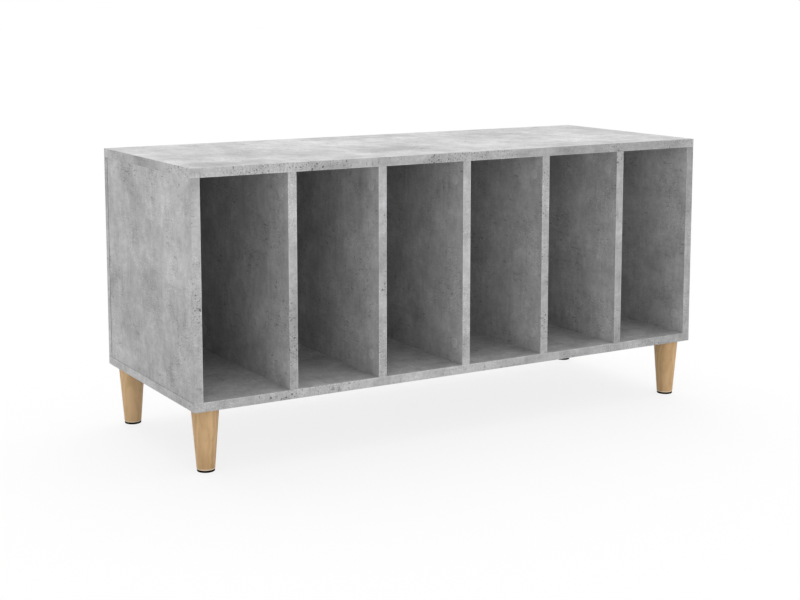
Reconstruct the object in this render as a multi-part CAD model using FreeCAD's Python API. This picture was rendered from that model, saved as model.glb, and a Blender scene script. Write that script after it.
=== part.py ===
import FreeCAD, Part
import os

# An open record cabinet: a row of upright bays in a board carcass on four turned wooden legs.
# Millimetres, +X to the right, +Y to the back, +Z up. The origin is on the floor under the
# middle of the cabinet, and the open front faces -Y.

# Carcass
CABINET_WIDTH = 1000.0
CABINET_DEPTH = 380.0
CARCASS_HEIGHT = 380.0
BAY_COUNT = 6

# Boards, and the thin bands that close the board edges that show
BOARD_THICKNESS = 15.0
DIVIDER_THICKNESS = 15.0
BACK_THICKNESS = 15.0
BAND_THICKNESS = 1.0
BAND_ROUNDING = 0.5

# Turned legs, placed by their centres
LEG_LENGTH = 100.0
LEG_TOP_DIAMETER = 45.0
LEG_FOOT_DIAMETER = 29.0
LEG_TOP_ROUNDING = 0.5
LEG_FOOT_ROUNDING = 0.8
LEG_END_INSET = 30.0
LEG_FACE_INSET = 30.0

# Floor glides, pressed into the feet of the legs by a stem
GLIDE_THICKNESS = 3.5
GLIDE_SETBACK = 0.2
GLIDE_ROUNDING = 1.2
GLIDE_STEM_DIAMETER = 6.0
GLIDE_STEM_LENGTH = 12.0

# Studs in the legs, and the threaded sleeves in the bottom board that take them
HANGER_BOLT_DIAMETER = 8.0
HANGER_BOLT_LEG_LENGTH = 40.0
INSERT_DIAMETER = 12.0
INSERT_FLANGE_DIAMETER = 17.0
INSERT_FLANGE_THICKNESS = 1.2
INSERT_WALL_BEYOND = 2.0

# Wooden dowels in the ends of the uprights
DOWEL_DIAMETER = 8.0
DOWEL_LENGTH = 30.0
DOWEL_ROUNDING = 1.0
DOWEL_WALL_BEYOND = 5.0

# Cam fittings at both ends of the uprights: a bolt in the top or bottom board, and a lock in the
# upright's face under a thin cap
CAM_DIAMETER = 15.0
CAM_END_DISTANCE = 34.0
CAM_EDGE_DISTANCE = 25.0
CAM_TO_DOWEL = 32.0
CAM_RECESS = 0.3
CAM_WALL_BEYOND = 2.0
CAM_CROSS_LENGTH = 8.0
CAM_CROSS_WIDTH = 1.6
CAM_CROSS_DEPTH = 1.5
CAM_BOLT_THREAD_DIAMETER = 6.0
CAM_BOLT_WALL_BEYOND = 4.0
CAM_BOLT_SHANK_DIAMETER = 7.0
CAM_BOLT_NECK_DIAMETER = 4.0
CAM_BOLT_HEAD_DIAMETER = 6.0
CAM_BOLT_HEAD_LENGTH = 3.0
CAP_DIAMETER = 17.0
CAP_THICKNESS = 0.5
CAP_ROUNDING = 0.2

# Countersunk screws through the back panel into the uprights
BACK_SCREW_LENGTH = 40.0
BACK_SCREW_DIAMETER = 4.0
BACK_SCREW_HEAD_DIAMETER = 8.0
BACK_SCREW_HEAD_HEIGHT = 2.4
BACK_SCREW_END_DISTANCE = 75.0
BACK_SCREW_CROSS_LENGTH = 4.4
BACK_SCREW_CROSS_WIDTH = 1.0
BACK_SCREW_CROSS_DEPTH = 1.5

# Gap all round a fastener, gap at the end of a blind hole, and how far cuts run past a face
FIT_CLEARANCE = 0.1
END_CLEARANCE = 0.5
CUT_OVERRUN = 1.0

# Places of the main faces
LEFT_END = -CABINET_WIDTH / 2
RIGHT_END = CABINET_WIDTH / 2
FRONT_FACE = -CABINET_DEPTH / 2
REAR_FACE = CABINET_DEPTH / 2
BAY_REAR = REAR_FACE - BACK_THICKNESS
LEG_FOOT = GLIDE_THICKNESS
UNDERSIDE = LEG_FOOT + LEG_LENGTH
BAY_FLOOR = UNDERSIDE + BOARD_THICKNESS
TOP_FACE = UNDERSIDE + CARCASS_HEIGHT
BAY_CEILING = TOP_FACE - BOARD_THICKNESS
DIVIDER_COUNT = BAY_COUNT - 1
CLEAR_WIDTH = CABINET_WIDTH - 2 * BOARD_THICKNESS - DIVIDER_COUNT * DIVIDER_THICKNESS
BAY_WIDTH = CLEAR_WIDTH / BAY_COUNT

# Depths of the holes in the faces of the top and bottom boards
DOWEL_FACE_DEPTH = BOARD_THICKNESS - DOWEL_WALL_BEYOND
DOWEL_END_DEPTH = DOWEL_LENGTH + 2 * END_CLEARANCE - DOWEL_FACE_DEPTH
CAM_BOLT_FACE_DEPTH = BOARD_THICKNESS - CAM_BOLT_WALL_BEYOND
INSERT_DEPTH = BOARD_THICKNESS - INSERT_WALL_BEYOND

# Directions
RIGHT = FreeCAD.Vector(1, 0, 0)
LEFT = FreeCAD.Vector(-1, 0, 0)
TO_BACK = FreeCAD.Vector(0, 1, 0)
TO_FRONT = FreeCAD.Vector(0, -1, 0)
UP = FreeCAD.Vector(0, 0, 1)
DOWN = FreeCAD.Vector(0, 0, -1)


# Basic shapes


def slab(low, high):
    """A box between its lowest and highest corners."""
    size = FreeCAD.Vector(*high) - FreeCAD.Vector(*low)
    return Part.makeBox(size.x, size.y, size.z, FreeCAD.Vector(*low))


def rod(start, axis, diameter, length):
    """A round bar from start along a direction."""
    return Part.makeCylinder(diameter / 2, length, start, axis)


def hole(mouth, axis, diameter, depth):
    """The cut for a round hole that opens at mouth, with the gap that a fastener needs."""
    start = mouth - axis * CUT_OVERRUN
    return rod(start, axis, diameter + 2 * FIT_CLEARANCE, depth + CUT_OVERRUN)


def countersink(mouth, axis, wide, narrow, depth):
    """The cut for a cone-shaped screw head that lies flush at mouth."""
    cone = Part.makeCone(wide / 2 + FIT_CLEARANCE, narrow / 2 + FIT_CLEARANCE, depth, mouth, axis)
    return cone.fuse(hole(mouth, axis, narrow, depth))


def cross_recess(mouth, axis, across, length, width, depth):
    """The cut for a cross-shaped screwdriver recess, with one arm along across."""
    arms = []
    for arm in (across, axis.cross(across)):
        side = axis.cross(arm)
        corner = mouth - arm * (length / 2) - side * (width / 2) - axis * CUT_OVERRUN
        far_corner = corner + arm * length
        outline = [corner, far_corner, far_corner + side * width, corner + side * width, corner]
        face = Part.Face(Part.makePolygon(outline))
        arms.append(face.extrude(axis * (depth + CUT_OVERRUN)))
    return arms[0].fuse(arms[1])


def rounded_rim(shape, axis, radius):
    """Rounds the rim of the shape's last face along a direction."""
    face = max(shape.Faces, key=lambda f: f.CenterOfMass.dot(axis))
    return shape.makeFillet(radius, face.Edges)


def edge_band(low, high, outward):
    """A band on a board's edge, with its two long outer corners rounded."""
    strip = slab(low, high)
    outer_face = max(strip.Faces, key=lambda f: f.CenterOfMass.dot(outward))
    long_edges = sorted(outer_face.Edges, key=lambda e: e.Length)[-2:]
    return strip.makeFillet(BAND_ROUNDING, long_edges)


# Places of the uprights and their fasteners


def upright_places():
    """Each upright's name, its left face, its thickness and the side that its cams open on."""
    places = [("left_side_panel", LEFT_END, BOARD_THICKNESS, RIGHT)]
    for number in range(1, BAY_COUNT):
        left_face = LEFT_END + BOARD_THICKNESS + number * BAY_WIDTH + (number - 1) * DIVIDER_THICKNESS
        places.append((f"divider_{number}", left_face, DIVIDER_THICKNESS, LEFT))
    places.append(("right_side_panel", RIGHT_END - BOARD_THICKNESS, BOARD_THICKNESS, LEFT))
    return places


def upright_middles():
    """The middle of each upright's thickness."""
    return [left_face + thickness / 2 for _, left_face, thickness, _ in upright_places()]


def cam_rows():
    """Where the cam fittings lie from front to back."""
    return [FRONT_FACE + CAM_EDGE_DISTANCE, BAY_REAR - CAM_EDGE_DISTANCE]


def dowel_rows():
    """Where the dowels lie from front to back, inwards of the cam fittings."""
    front_row, rear_row = cam_rows()
    return [front_row + CAM_TO_DOWEL, rear_row - CAM_TO_DOWEL]


def back_screw_heights():
    """Heights of the back screws."""
    return [BAY_FLOOR + BACK_SCREW_END_DISTANCE, BAY_CEILING - BACK_SCREW_END_DISTANCE]


def grid(rows, height):
    """A point at every upright's middle, in each row, at one height."""
    return [FreeCAD.Vector(x, y, height) for x in upright_middles() for y in rows]


def back_screw_places():
    """Where the back screws enter the rear face of the back panel."""
    return [FreeCAD.Vector(x, REAR_FACE, z) for x in upright_middles() for z in back_screw_heights()]


def cam_places(joint, axis):
    """Each cam's centre on its upright's face near the joint, with the upright's thickness and side."""
    height = joint - axis.z * CAM_END_DISTANCE
    places = []
    for _, left_face, thickness, side in upright_places():
        face = left_face + thickness if side == RIGHT else left_face
        places += [(FreeCAD.Vector(face, y, height), thickness, side) for y in cam_rows()]
    return places


def leg_places():
    """Each leg's name and the place of its axis on the floor."""
    reach_x = CABINET_WIDTH / 2 - LEG_END_INSET
    reach_y = CABINET_DEPTH / 2 - LEG_FACE_INSET
    places = []
    for row, y in (("front", -reach_y), ("rear", reach_y)):
        for end, x in (("left", -reach_x), ("right", reach_x)):
            places.append((f"{row}_{end}", FreeCAD.Vector(x, y, 0)))
    return places


# Boards


def flat_core(low_z, high_z):
    """The core of the top or bottom board, inside its four bands."""
    low = (LEFT_END + BAND_THICKNESS, FRONT_FACE + BAND_THICKNESS, low_z)
    high = (RIGHT_END - BAND_THICKNESS, REAR_FACE - BAND_THICKNESS, high_z)
    return slab(low, high)


def joint_holes(joint, axis):
    """The holes for dowels and cam bolts in the face of the top or bottom board."""
    cuts = [hole(place, axis, DOWEL_DIAMETER, DOWEL_FACE_DEPTH) for place in grid(dowel_rows(), joint)]
    for place in grid(cam_rows(), joint):
        cuts.append(hole(place, axis, CAM_BOLT_THREAD_DIAMETER, CAM_BOLT_FACE_DEPTH))
    return cuts


def top_panel():
    """The top board, drilled from below."""
    return flat_core(BAY_CEILING, TOP_FACE).cut(joint_holes(BAY_CEILING, UP))


def bottom_panel():
    """The bottom board, drilled from above, and from below for the legs' threaded sleeves."""
    cuts = joint_holes(BAY_FLOOR, DOWN)
    for _, foot in leg_places():
        seat = foot + UP * UNDERSIDE
        cuts.append(hole(seat, UP, INSERT_DIAMETER, INSERT_DEPTH))
        cuts.append(hole(seat, UP, INSERT_FLANGE_DIAMETER, INSERT_FLANGE_THICKNESS))
    return flat_core(UNDERSIDE, BAY_FLOOR).cut(cuts)


def upright_end_holes(left_face, thickness, side, joint, axis):
    """The holes near one end of an upright: dowels, cam bolts and cam locks."""
    middle = left_face + thickness / 2
    cam_face = left_face + thickness if side == RIGHT else left_face
    inward = axis * -1
    cuts = []
    for y in dowel_rows():
        cuts.append(hole(FreeCAD.Vector(middle, y, joint), inward, DOWEL_DIAMETER, DOWEL_END_DEPTH))
    for y in cam_rows():
        bolt_mouth = FreeCAD.Vector(middle, y, joint)
        cuts.append(hole(bolt_mouth, inward, CAM_BOLT_SHANK_DIAMETER, CAM_END_DISTANCE))
        cam_centre = FreeCAD.Vector(cam_face, y, joint) + inward * CAM_END_DISTANCE
        cuts.append(hole(cam_centre, side * -1, CAM_DIAMETER, thickness - CAM_WALL_BEYOND))
    return cuts


def upright(left_face, thickness, side):
    """A side panel or divider, drilled in both ends, the rear edge and one face."""
    low = (left_face, FRONT_FACE + BAND_THICKNESS, BAY_FLOOR)
    high = (left_face + thickness, BAY_REAR, BAY_CEILING)
    middle = left_face + thickness / 2
    cuts = upright_end_holes(left_face, thickness, side, BAY_CEILING, UP)
    cuts += upright_end_holes(left_face, thickness, side, BAY_FLOOR, DOWN)
    for z in back_screw_heights():
        screw_depth = BACK_SCREW_LENGTH - BACK_THICKNESS + END_CLEARANCE
        cuts.append(hole(FreeCAD.Vector(middle, BAY_REAR, z), TO_FRONT, BACK_SCREW_DIAMETER, screw_depth))
    return slab(low, high).cut(cuts)


def back_panel():
    """The board behind the uprights, drilled and countersunk from behind."""
    low = (LEFT_END + BAND_THICKNESS, BAY_REAR, BAY_FLOOR)
    high = (RIGHT_END - BAND_THICKNESS, REAR_FACE, BAY_CEILING)
    cuts = []
    for place in back_screw_places():
        cuts.append(hole(place, TO_FRONT, BACK_SCREW_DIAMETER, BACK_THICKNESS + CUT_OVERRUN))
        cuts.append(countersink(place, TO_FRONT, BACK_SCREW_HEAD_DIAMETER, BACK_SCREW_DIAMETER,
                                BACK_SCREW_HEAD_HEIGHT))
    return slab(low, high).cut(cuts)


# Edge bands


def flat_board_bands(board, low_z, high_z):
    """The four bands of the top or bottom board, the front and rear ones lapping the end ones."""
    front_inner = FRONT_FACE + BAND_THICKNESS
    rear_inner = REAR_FACE - BAND_THICKNESS
    left_inner = LEFT_END + BAND_THICKNESS
    right_inner = RIGHT_END - BAND_THICKNESS
    return {
        f"{board}_front_band": edge_band(
            (LEFT_END, FRONT_FACE, low_z), (RIGHT_END, front_inner, high_z), TO_FRONT),
        f"{board}_rear_band": edge_band(
            (LEFT_END, rear_inner, low_z), (RIGHT_END, REAR_FACE, high_z), TO_BACK),
        f"{board}_left_band": edge_band(
            (LEFT_END, front_inner, low_z), (left_inner, rear_inner, high_z), LEFT),
        f"{board}_right_band": edge_band(
            (right_inner, front_inner, low_z), (RIGHT_END, rear_inner, high_z), RIGHT),
    }


def upright_band(left_face, thickness):
    """The band on the front edge of a side panel or divider."""
    low = (left_face, FRONT_FACE, BAY_FLOOR)
    high = (left_face + thickness, FRONT_FACE + BAND_THICKNESS, BAY_CEILING)
    return edge_band(low, high, TO_FRONT)


def back_bands():
    """The bands on the two ends of the back panel."""
    left_low = (LEFT_END, BAY_REAR, BAY_FLOOR)
    left_high = (LEFT_END + BAND_THICKNESS, REAR_FACE, BAY_CEILING)
    right_low = (RIGHT_END - BAND_THICKNESS, BAY_REAR, BAY_FLOOR)
    right_high = (RIGHT_END, REAR_FACE, BAY_CEILING)
    return {
        "back_left_band": edge_band(left_low, left_high, LEFT),
        "back_right_band": edge_band(right_low, right_high, RIGHT),
    }


# Legs and what fixes them


def leg(foot):
    """A turned tapered leg, bored at the top for its stud and at the foot for its glide."""
    base = foot + UP * LEG_FOOT
    crown = foot + UP * UNDERSIDE
    post = Part.makeCone(LEG_FOOT_DIAMETER / 2, LEG_TOP_DIAMETER / 2, LEG_LENGTH, base, UP)
    post = rounded_rim(post, UP, LEG_TOP_ROUNDING)
    post = rounded_rim(post, DOWN, LEG_FOOT_ROUNDING)
    stud_bore = hole(crown, DOWN, HANGER_BOLT_DIAMETER, HANGER_BOLT_LEG_LENGTH + END_CLEARANCE)
    stem_bore = hole(base, UP, GLIDE_STEM_DIAMETER, GLIDE_STEM_LENGTH + END_CLEARANCE)
    return post.cut([stud_bore, stem_bore])


def glide(foot):
    """A floor disc as wide as the leg's foot, with a stem up into the leg."""
    disc = rod(foot, UP, LEG_FOOT_DIAMETER - 2 * GLIDE_SETBACK, GLIDE_THICKNESS)
    disc = rounded_rim(disc, DOWN, GLIDE_ROUNDING)
    stem = rod(foot, UP, GLIDE_STEM_DIAMETER, GLIDE_THICKNESS + GLIDE_STEM_LENGTH)
    return disc.fuse(stem).removeSplitter()


def leg_insert(foot):
    """A flanged threaded sleeve, flush with the underside of the bottom board."""
    seat = foot + UP * UNDERSIDE
    sleeve = rod(seat, UP, INSERT_DIAMETER, INSERT_DEPTH - END_CLEARANCE)
    flange = rod(seat, UP, INSERT_FLANGE_DIAMETER, INSERT_FLANGE_THICKNESS)
    return sleeve.fuse(flange).cut(hole(seat, UP, HANGER_BOLT_DIAMETER, BOARD_THICKNESS))


def hanger_bolt(foot):
    """The stud that joins a leg to its sleeve."""
    start = foot + UP * (UNDERSIDE - HANGER_BOLT_LEG_LENGTH)
    return rod(start, UP, HANGER_BOLT_DIAMETER, HANGER_BOLT_LEG_LENGTH + INSERT_DEPTH - END_CLEARANCE)


# Carcass fasteners


def dowel(mouth, axis):
    """A round-ended dowel across the joint at mouth, with axis into the board's face."""
    start = mouth + axis * (DOWEL_FACE_DEPTH - END_CLEARANCE - DOWEL_LENGTH)
    pin = rod(start, axis, DOWEL_DIAMETER, DOWEL_LENGTH)
    return rounded_rim(rounded_rim(pin, axis, DOWEL_ROUNDING), axis * -1, DOWEL_ROUNDING)


def cam_bolt(mouth, axis):
    """A bolt in the board's face at mouth, with its head at the centre of its cam."""
    inward = axis * -1
    thread = rod(mouth, axis, CAM_BOLT_THREAD_DIAMETER, CAM_BOLT_FACE_DEPTH - END_CLEARANCE)
    shank = rod(mouth, inward, CAM_BOLT_SHANK_DIAMETER, CAM_END_DISTANCE - CAM_DIAMETER / 2)
    neck = rod(mouth, inward, CAM_BOLT_NECK_DIAMETER, CAM_END_DISTANCE)
    head_start = mouth + inward * (CAM_END_DISTANCE - CAM_BOLT_HEAD_LENGTH)
    head = rod(head_start, inward, CAM_BOLT_HEAD_DIAMETER, CAM_BOLT_HEAD_LENGTH)
    return thread.fuse([shank, neck, head]).removeSplitter()


def cam_lock(centre, thickness, side, axis):
    """A lock disc with a cross recess, and a slot from its centre along axis for the bolt's head."""
    inward = side * -1
    face = centre + inward * CAM_RECESS
    disc = rod(face, inward, CAM_DIAMETER, thickness - CAM_WALL_BEYOND - CAM_RECESS)
    recess = cross_recess(face, inward, UP, CAM_CROSS_LENGTH, CAM_CROSS_WIDTH, CAM_CROSS_DEPTH)
    slot_start = centre + inward * (thickness / 2) - axis * FIT_CLEARANCE
    slot = rod(slot_start, axis, CAM_BOLT_HEAD_DIAMETER + 2 * FIT_CLEARANCE, CAM_DIAMETER)
    return disc.cut([recess, slot])


def cam_cap(centre, side):
    """A thin round cap over a cam, on the upright's face."""
    return rounded_rim(rod(centre, side, CAP_DIAMETER, CAP_THICKNESS), side, CAP_ROUNDING)


def back_screw(mouth):
    """A countersunk screw with a cross recess, its head flush with the back panel."""
    head = Part.makeCone(BACK_SCREW_HEAD_DIAMETER / 2, BACK_SCREW_DIAMETER / 2, BACK_SCREW_HEAD_HEIGHT,
                         mouth, TO_FRONT)
    shank = rod(mouth, TO_FRONT, BACK_SCREW_DIAMETER, BACK_SCREW_LENGTH)
    recess = cross_recess(mouth, TO_FRONT, UP, BACK_SCREW_CROSS_LENGTH, BACK_SCREW_CROSS_WIDTH,
                          BACK_SCREW_CROSS_DEPTH)
    return head.fuse(shank).cut(recess)


# The whole cabinet


def boards():
    """The carcass boards by name."""
    pieces = {"top_panel": top_panel(), "bottom_panel": bottom_panel(), "back_panel": back_panel()}
    for name, left_face, thickness, side in upright_places():
        pieces[name] = upright(left_face, thickness, side)
    return pieces


def bands():
    """All edge bands by name."""
    pieces = flat_board_bands("top", BAY_CEILING, TOP_FACE)
    pieces.update(flat_board_bands("bottom", UNDERSIDE, BAY_FLOOR))
    for name, left_face, thickness, _ in upright_places():
        pieces[name.removesuffix("_panel") + "_band"] = upright_band(left_face, thickness)
    pieces.update(back_bands())
    return pieces


def legs_and_glides():
    """The four legs and the glide under each."""
    pieces = {}
    for corner, foot in leg_places():
        pieces[f"{corner}_leg"] = leg(foot)
        pieces[f"{corner}_glide"] = glide(foot)
    return pieces


def joint_fasteners(board, joint, axis):
    """What holds the uprights to the top or bottom board, as groups of separate solids."""
    cams = cam_places(joint, axis)
    return {
        f"{board}_dowels": [dowel(place, axis) for place in grid(dowel_rows(), joint)],
        f"{board}_cam_bolts": [cam_bolt(place, axis) for place in grid(cam_rows(), joint)],
        f"{board}_cam_locks": [cam_lock(*cam, axis) for cam in cams],
        f"{board}_cam_caps": [cam_cap(centre, side) for centre, _, side in cams],
    }


def fasteners():
    """Like fasteners as groups of separate solids."""
    feet = [foot for _, foot in leg_places()]
    groups = {
        "leg_inserts": [leg_insert(foot) for foot in feet],
        "hanger_bolts": [hanger_bolt(foot) for foot in feet],
        "back_screws": [back_screw(place) for place in back_screw_places()],
    }
    groups.update(joint_fasteners("top", BAY_CEILING, UP))
    groups.update(joint_fasteners("bottom", BAY_FLOOR, DOWN))
    return {name: Part.makeCompound(solids) for name, solids in groups.items()}


def main():
    """Writes each piece to its own file."""
    os.makedirs("parts", exist_ok=True)
    pieces = {**boards(), **bands(), **legs_and_glides(), **fasteners()}
    for name, shape in pieces.items():
        shape.exportStep(f"parts/{name}.step")


main()
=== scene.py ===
import math
from collections import namedtuple

import bmesh
import bpy
from bpy.props import FloatProperty, FloatVectorProperty, IntProperty, PointerProperty
from mathutils import Euler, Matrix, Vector


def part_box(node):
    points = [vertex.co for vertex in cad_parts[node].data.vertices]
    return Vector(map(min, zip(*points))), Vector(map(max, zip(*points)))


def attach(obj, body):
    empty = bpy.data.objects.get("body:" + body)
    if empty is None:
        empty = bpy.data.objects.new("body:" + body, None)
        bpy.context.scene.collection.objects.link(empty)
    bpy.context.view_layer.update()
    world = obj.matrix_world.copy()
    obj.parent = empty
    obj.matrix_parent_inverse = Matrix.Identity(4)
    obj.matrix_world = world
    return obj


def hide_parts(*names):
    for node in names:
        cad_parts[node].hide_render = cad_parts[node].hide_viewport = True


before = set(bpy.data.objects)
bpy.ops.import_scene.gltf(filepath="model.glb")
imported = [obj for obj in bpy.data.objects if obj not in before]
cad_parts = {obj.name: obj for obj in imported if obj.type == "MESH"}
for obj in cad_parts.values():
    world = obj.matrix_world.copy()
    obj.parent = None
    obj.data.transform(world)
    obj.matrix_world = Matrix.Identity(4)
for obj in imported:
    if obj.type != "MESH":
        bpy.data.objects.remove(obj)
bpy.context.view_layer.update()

bl_info = {
    "name": "Record cabinet",
    "version": (1, 0, 0),
    "blender": (4, 5, 0),
    "location": "View3D > Sidebar > Cabinet",
    "description": "Dresses an open record cabinet in concrete-print board and turned wood",
    "category": "Object",
}

# Which way the print's grain runs on a piece, as the turn that lays the grain on the piece
QUARTER = math.pi / 2
GRAIN_WIDTHWAYS_FLAT = (0.0, 0.0, 0.0)
GRAIN_WIDTHWAYS_UPRIGHT = (QUARTER, 0.0, 0.0)
GRAIN_UPWARDS_SIDE = (0.0, QUARTER, 0.0)
GRAIN_UPWARDS_FRONT = (QUARTER, 0.0, QUARTER)
GRAIN_DEPTHWAYS_END = (-QUARTER, QUARTER, 0.0)

# Each board's grain, where it was cut from the printed sheet, in metres along the sheet, and its tone; the
# darker tones of the bottom board and the left side are painted shade
BOARD_CUTS_AND_PAINTED_SHADE = {
    "top_panel": (GRAIN_WIDTHWAYS_FLAT, 3, 0.0),
    # Painted shade: darker for the shaded floors of the bays
    "bottom_panel": (GRAIN_WIDTHWAYS_FLAT, 8, -0.025),
    "back_panel": (GRAIN_WIDTHWAYS_UPRIGHT, 12, 0.0),
    # Painted shade: darker for less light on this side
    "left_side_panel": (GRAIN_UPWARDS_SIDE, 17, -0.015),
    "divider_1": (GRAIN_UPWARDS_SIDE, 21, 0.0),
    "divider_2": (GRAIN_UPWARDS_SIDE, 25, 0.0),
    "divider_3": (GRAIN_UPWARDS_SIDE, 29, 0.0),
    "divider_4": (GRAIN_UPWARDS_SIDE, 33, 0.0),
    "divider_5": (GRAIN_UPWARDS_SIDE, 37, 0.0),
    "right_side_panel": (GRAIN_UPWARDS_SIDE, 41, 0.0),
}

# A band's long edges: plain, lighter with a painted highlight beside an opening, darker where a closed
# joint runs beside it, or dark with painted shade for the gap of an open joint. The back bands' rear edges
# take the joint's darkening as painted shade
PLAIN = 0.0
# Painted highlight: a lighter line along a band's edge beside an opening
PAINTED_EDGE_HIGHLIGHT = 0.03
# A dark joint line; on the back bands' rear edges the same darkening is painted shade of an edge turned
# away from the light
JOINT_AND_EDGE_SHADE = -0.11
# Painted shade: a dark line standing for the shade in the open gap where a back band meets the side
PAINTED_GAP_SHADE = -0.50

# Each band's grain and cut, its tone, and its edges, the lower, left or front one first
BAND_CUTS = {
    "top_front_band": (GRAIN_WIDTHWAYS_UPRIGHT, 45, 0.0, PAINTED_EDGE_HIGHLIGHT, PLAIN),
    "top_rear_band": (GRAIN_WIDTHWAYS_UPRIGHT, 47, 0.0, JOINT_AND_EDGE_SHADE, PLAIN),
    "top_left_band": (GRAIN_DEPTHWAYS_END, 49, 0.0, PLAIN, PLAIN),
    "top_right_band": (GRAIN_DEPTHWAYS_END, 51, 0.0, PLAIN, PLAIN),
    "bottom_front_band": (GRAIN_WIDTHWAYS_UPRIGHT, 53, 0.0, PLAIN, PAINTED_EDGE_HIGHLIGHT),
    "bottom_rear_band": (GRAIN_WIDTHWAYS_UPRIGHT, 55, 0.0, PLAIN, JOINT_AND_EDGE_SHADE),
    "bottom_left_band": (GRAIN_DEPTHWAYS_END, 57, 0.0, PLAIN, JOINT_AND_EDGE_SHADE),
    "bottom_right_band": (GRAIN_DEPTHWAYS_END, 59, 0.0, PLAIN, JOINT_AND_EDGE_SHADE),
    "left_side_band": (GRAIN_UPWARDS_FRONT, 61, 0.0, PLAIN, PAINTED_EDGE_HIGHLIGHT),
    "divider_1_band": (GRAIN_UPWARDS_FRONT, 63, -0.03, PAINTED_EDGE_HIGHLIGHT, PAINTED_EDGE_HIGHLIGHT),
    "divider_2_band": (GRAIN_UPWARDS_FRONT, 65, -0.03, PAINTED_EDGE_HIGHLIGHT, PAINTED_EDGE_HIGHLIGHT),
    "divider_3_band": (GRAIN_UPWARDS_FRONT, 67, -0.03, PAINTED_EDGE_HIGHLIGHT, PAINTED_EDGE_HIGHLIGHT),
    "divider_4_band": (GRAIN_UPWARDS_FRONT, 69, -0.03, PAINTED_EDGE_HIGHLIGHT, PAINTED_EDGE_HIGHLIGHT),
    "divider_5_band": (GRAIN_UPWARDS_FRONT, 71, -0.03, PAINTED_EDGE_HIGHLIGHT, PAINTED_EDGE_HIGHLIGHT),
    "right_side_band": (GRAIN_UPWARDS_FRONT, 73, -0.02, PAINTED_EDGE_HIGHLIGHT, PLAIN),
    # The back bands' edges: painted shade of the open gap at the front, and painted shade on the rear edge
    "back_left_band": (GRAIN_UPWARDS_SIDE, 75, 0.0, PAINTED_GAP_SHADE, JOINT_AND_EDGE_SHADE),
    "back_right_band": (GRAIN_UPWARDS_SIDE, 77, 0.0, PAINTED_GAP_SHADE, JOINT_AND_EDGE_SHADE),
}

# How dark the air pits are on a board and on a band, and how large, next to the settings
Pits = namedtuple("Pits", "depth size")
BOARD_PITS = Pits(0.4, 1.0)
BAND_PITS = Pits(1.1, 1.1)
NO_PITS = Pits(0.0, 1.0)

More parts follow.
